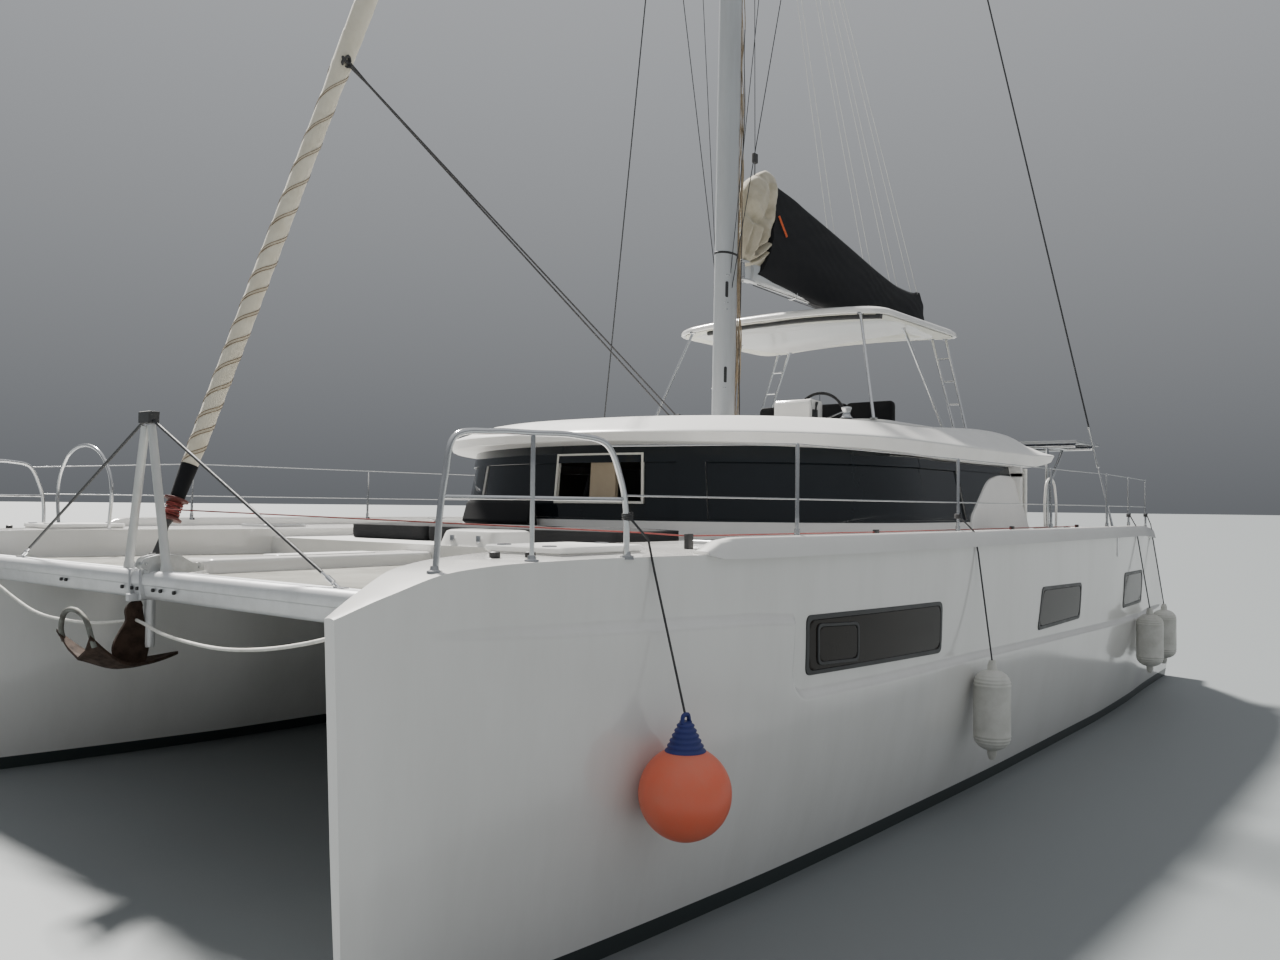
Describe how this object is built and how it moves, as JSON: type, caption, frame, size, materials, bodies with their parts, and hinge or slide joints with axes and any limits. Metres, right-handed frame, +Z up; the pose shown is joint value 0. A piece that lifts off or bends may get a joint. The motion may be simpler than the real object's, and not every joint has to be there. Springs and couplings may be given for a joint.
{
  "type": "sailing catamaran",
  "caption": "Cruising sailing catamaran afloat, full size, with steering, propellers, swinging boom, sliding saloon door and deck hatches that open.",
  "frame": {"origin": "on the waterline, amidships on the centreline, where the water holds the boat up", "axes": "+X forward, +Y to port, +Z up the mast"},
  "size_m": [13.9, 8.149, 23.75],
  "materials": {
    "gelcoat": "gloss white gelcoat",
    "dark_glass": "dark tinted acrylic glazing",
    "mast_aluminium": "satin anodised",
    "steel": "polished stainless steel",
    "antifoul": "matt dark antifouling paint",
    "black_canvas": "woven acrylic canvas, black",
    "sailcloth": "woven polyester sailcloth, cream",
    "cushion": "dark grey upholstery",
    "net": "knotted polyester net, off white",
    "anchor_iron": "galvanised iron, rusty",
    "white_rope": "laid polyester rope, white",
    "engine_paint": "grey engine enamel",
    "bronze": "cast bronze",
    "teak": "oiled wood",
    "solar": "glass faced solar cells",
    "orange_vinyl": "inflated vinyl, orange",
    "white_vinyl": "inflated vinyl, dull white",
    "drum_red": "dark red anodised aluminium",
    "black_plastic": "black leather covered rim"
  },
  "bodies": {
    "boat": {"port_hull": "gelcoat", "port_keel": "antifoul", "port_saildrive_leg": "mast_aluminium", "port_engine": "engine_paint", "port_glazing": "dark_glass", "port_trampoline": "net", "port_bridle_rope": "white_rope", "port_cap_shroud": "steel", "port_rails": "steel", "starboard_hull": "gelcoat", "starboard_keel": "antifoul", "starboard_saildrive_leg": "mast_aluminium", "starboard_engine": "engine_paint", "starboard_glazing": "dark_glass", "starboard_trampoline": "net", "starboard_bridle_rope": "white_rope", "starboard_cap_shroud": "steel", "starboard_rails": "steel", "bridgedeck": "gelcoat", "deckhouse": "gelcoat", "front_glazing": "dark_glass", "saloon_furniture": "teak", "coachroof": "gelcoat", "flybridge_coaming": "gelcoat", "helm_console": "gelcoat", "flybridge_seat": "cushion", "bimini_frame": "steel", "bimini": "gelcoat", "cockpit_furniture": "gelcoat", "foredeck_sunpad": "cushion", "forward_crossbeam": "mast_aluminium", "longeron": "gelcoat", "striker": "mast_aluminium", "anchor": "anchor_iron", "mast": "mast_aluminium", "forestay": "steel", "furler_drum": "drum_red", "furled_genoa": "sailcloth", "stern_arch": "steel", "solar_panel": "solar", "forward_fender": "orange_vinyl", "middle_fender": "white_vinyl", "quarter_fender": "white_vinyl", "aft_fender": "white_vinyl"},
    "boom_rig": {"boom": "mast_aluminium", "sail_bag": "black_canvas", "mainsail_stack": "sailcloth"},
    "steering_wheel": {"steering_wheel": "black_plastic"},
    "saloon_door": {"saloon_door": "dark_glass"},
    "port_rudder": {"port_rudder": "antifoul"},
    "port_propeller": {"port_propeller": "bronze"},
    "port_locker_lid": {"port_locker_lid": "gelcoat"},
    "port_engine_hatch": {"port_engine_hatch": "gelcoat"},
    "starboard_rudder": {"starboard_rudder": "antifoul"},
    "starboard_propeller": {"starboard_propeller": "bronze"},
    "starboard_locker_lid": {"starboard_locker_lid": "gelcoat"},
    "starboard_engine_hatch": {"starboard_engine_hatch": "gelcoat"}
  },
  "joints": [
    {"name": "boom_swing", "type": "hinge", "parent": "boat", "child": "boom_rig", "pos_m": [-1.12, 0, 5.28], "axis": [0, 0, 1], "range_deg": [-62, 62]},
    {"name": "wheel_turn", "type": "hinge", "parent": "boat", "child": "steering_wheel", "pos_m": [-1.79, 0.71, 3.43], "axis": [1, 0, 0], "range_deg": [-360, 360]},
    {"name": "saloon_door_slide", "type": "slide", "parent": "boat", "child": "saloon_door", "axis": [0, -1, 0], "range_m": [0, 1.25]},
    {"name": "port_rudder_steer", "type": "hinge", "parent": "boat", "child": "port_rudder", "pos_m": [-5.75, 3.1, -0.4], "axis": [0, 0, 1], "range_deg": [-35, 35]},
    {"name": "port_propeller_spin", "type": "hinge", "parent": "boat", "child": "port_propeller", "pos_m": [-4.79, 3.09, -0.88], "axis": [1, 0, 0], "continuous": true},
    {"name": "port_locker_lid_hinge", "type": "hinge", "parent": "boat", "child": "port_locker_lid", "pos_m": [5.69, 3.12, 2.1153], "axis": [0, 1, 0], "range_deg": [0, 90]},
    {"name": "port_engine_hatch_hinge", "type": "hinge", "parent": "boat", "child": "port_engine_hatch", "pos_m": [-4.94, 3, 2.1153], "axis": [0, -1, 0], "range_deg": [0, 90]},
    {"name": "starboard_rudder_steer", "type": "hinge", "parent": "boat", "child": "starboard_rudder", "pos_m": [-5.75, -3.1, -0.4], "axis": [0, 0, 1], "range_deg": [-35, 35]},
    {"name": "starboard_propeller_spin", "type": "hinge", "parent": "boat", "child": "starboard_propeller", "pos_m": [-4.79, -3.09, -0.88], "axis": [1, 0, 0], "continuous": true},
    {"name": "starboard_locker_lid_hinge", "type": "hinge", "parent": "boat", "child": "starboard_locker_lid", "pos_m": [5.69, -3.12, 2.1153], "axis": [0, 1, 0], "range_deg": [0, 90]},
    {"name": "starboard_engine_hatch_hinge", "type": "hinge", "parent": "boat", "child": "starboard_engine_hatch", "pos_m": [-4.94, -3, 2.1153], "axis": [0, -1, 0], "range_deg": [0, 90]}
  ],
  "couplings": [
    {"joint": "starboard_rudder_steer", "follows": "port_rudder_steer", "ratio": 1},
    {"joint": "wheel_turn", "follows": "port_rudder_steer", "ratio": 10.285}
  ]
}
